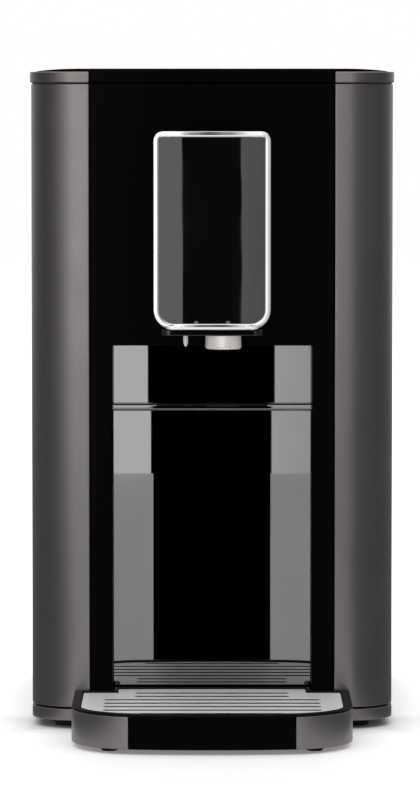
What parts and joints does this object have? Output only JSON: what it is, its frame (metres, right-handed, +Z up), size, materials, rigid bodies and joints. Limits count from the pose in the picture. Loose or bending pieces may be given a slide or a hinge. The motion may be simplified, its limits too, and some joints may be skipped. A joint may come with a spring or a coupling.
{
  "type": "hot water dispenser",
  "caption": "Counter-top hot water dispenser: touch display head with spout over a cup niche, slide-out drip tray with slotted grid, lift-out rear tank with hinged lid.",
  "frame": {"origin": "on the table under the middle of the overall box", "axes": "+Z up, -Y towards the user (display, niche and drip tray), +X to the user's right"},
  "size_m": [0.176, 0.3, 0.3184],
  "materials": {
    "satin_grey": "satin grey paint with a fine metallic grain",
    "gloss_black": "polished black plastic",
    "dark_mirror": "dark reflecting panel",
    "satin_black": "fine-grained black plastic",
    "bright_trim": "polished bright trim",
    "display_glass": "black display glass",
    "brushed_steel": "brushed stainless steel",
    "rubber": "black rubber",
    "silicone": "translucent silicone",
    "smoke_clear": "smoke-tinted clear plastic",
    "pale_plastic": "pale heat-proof plastic",
    "grey_plastic": "grey plastic",
    "circuit_board": "lacquered circuit board",
    "orange_plastic": "orange plastic",
    "brass": "bright brass"
  },
  "bodies": {
    "cabinet": {"left_side_panel": "satin_grey", "right_side_panel": "satin_grey", "left_cap_trim": "satin_grey", "right_cap_trim": "satin_grey", "base_pan": "satin_grey", "front_panel": "gloss_black", "top_cover": "gloss_black", "spout_block": "gloss_black", "head_shell": "gloss_black", "niche_liner": "dark_mirror", "niche_mirror": "dark_mirror", "niche_bead": "dark_mirror", "rear_bulkhead": "satin_black", "rear_panel": "satin_black", "tank_deck": "satin_black", "dock_socket": "satin_black", "cord_gland": "satin_black", "switch_housing": "satin_black", "level_sensor": "satin_black", "head_bezel": "bright_trim", "display_glass": "display_glass", "spout": "brushed_steel", "vent_pin": "brushed_steel", "heater_tube": "brushed_steel", "case_screws": "brushed_steel", "pump_motor": "brushed_steel", "base_feet": "rubber", "outlet_hose": "silicone", "pressure_hose": "silicone", "meter_hose": "silicone", "suction_hose": "silicone", "dock_seal": "silicone", "outlet_chamber": "pale_plastic", "heater_caps": "pale_plastic", "flow_meter": "pale_plastic", "meter_cap": "pale_plastic", "thermal_cutouts": "pale_plastic", "pump_volute": "grey_plastic", "pump_cover": "grey_plastic", "board_parts": "grey_plastic", "display_board": "circuit_board", "power_board": "circuit_board", "temperature_probe": "brass"},
    "tray": {"tray_skirt": "satin_grey", "tray_inlay": "gloss_black", "drip_basin": "satin_black", "tray_feet": "rubber"},
    "grid": {"drip_grid": "brushed_steel"},
    "tank": {"water_tank": "smoke_clear", "hinge_pin": "brushed_steel", "valve_seat": "pale_plastic", "strainer": "pale_plastic", "valve_spring": "brushed_steel"},
    "lid": {"tank_lid": "gloss_black", "lid_gasket": "silicone"},
    "valve": {"valve_poppet": "satin_black"},
    "float": {"level_float": "orange_plastic"},
    "impeller": {"pump_impeller": "pale_plastic"},
    "rotor": {"meter_rotor": "orange_plastic"},
    "rocker": {"power_rocker": "satin_black"}
  },
  "joints": [
    {"name": "tray_pull", "type": "slide", "parent": "cabinet", "child": "tray", "axis": [0, -1, 0], "range_m": [0, 0.13]},
    {"name": "grid_lift", "type": "slide", "parent": "tray", "child": "grid", "axis": [0, 0, 1], "range_m": [0, 0.05]},
    {"name": "tank_lift", "type": "slide", "parent": "cabinet", "child": "tank", "axis": [0, 0, 1], "range_m": [0, 0.3]},
    {"name": "lid_hinge", "type": "hinge", "parent": "tank", "child": "lid", "pos_m": [0, 0.1463, 0.315], "axis": [-1, 0, 0], "range_deg": [0, 100]},
    {"name": "valve_close", "type": "slide", "parent": "tank", "child": "valve", "axis": [0, 0, 1], "range_m": [-0.003, 0], "deforming": ["valve_spring"]},
    {"name": "float_rise", "type": "slide", "parent": "tank", "child": "float", "axis": [0, 0, 1], "range_m": [0, 0.021]},
    {"name": "impeller_spin", "type": "hinge", "parent": "cabinet", "child": "impeller", "pos_m": [-0.0097, 0.03, 0.034], "axis": [0, 1, 0], "continuous": true},
    {"name": "rotor_spin", "type": "hinge", "parent": "cabinet", "child": "rotor", "pos_m": [-0.0097, 0.079, 0.034], "axis": [0, 0, 1], "continuous": true},
    {"name": "rocker_tilt", "type": "hinge", "parent": "cabinet", "child": "rocker", "pos_m": [0.03, 0.143, 0.03], "axis": [-1, 0, 0], "range_deg": [0, 20]}
  ],
  "couplings": [
    {"joint": "valve_close", "follows": "tank_lift", "ratio": -0.01}
  ]
}
